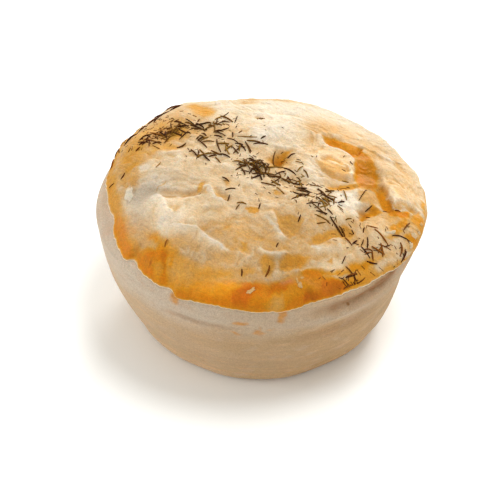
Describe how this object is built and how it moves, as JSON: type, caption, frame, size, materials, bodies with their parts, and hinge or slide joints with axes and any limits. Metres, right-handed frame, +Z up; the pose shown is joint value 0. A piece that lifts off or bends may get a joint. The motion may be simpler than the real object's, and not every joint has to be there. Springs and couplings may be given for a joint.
{
  "type": "meat pie",
  "caption": "Deep round meat pie with a flared pale pastry case and a domed, flaky lid, glazed towards its ragged edge and sprinkled with dried herb.",
  "frame": {"origin": "middle of the pie's outline, on the flat underside of its base", "axes": "+Z up through the lid, -Y towards the front of the pie that the picture shows, +X to the picture's right"},
  "size_m": [0.106, 0.1068, 0.056],
  "materials": {
    "pale_pastry": "dry, lightly baked shortcrust",
    "baked_pastry": "baked, egg-glazed flaky pastry",
    "dried_herb": "dry chopped herb"
  },
  "bodies": {
    "root": {"pastry_case": "pale_pastry", "pastry_lid": "baked_pastry"}
  },
  "joints": []
}
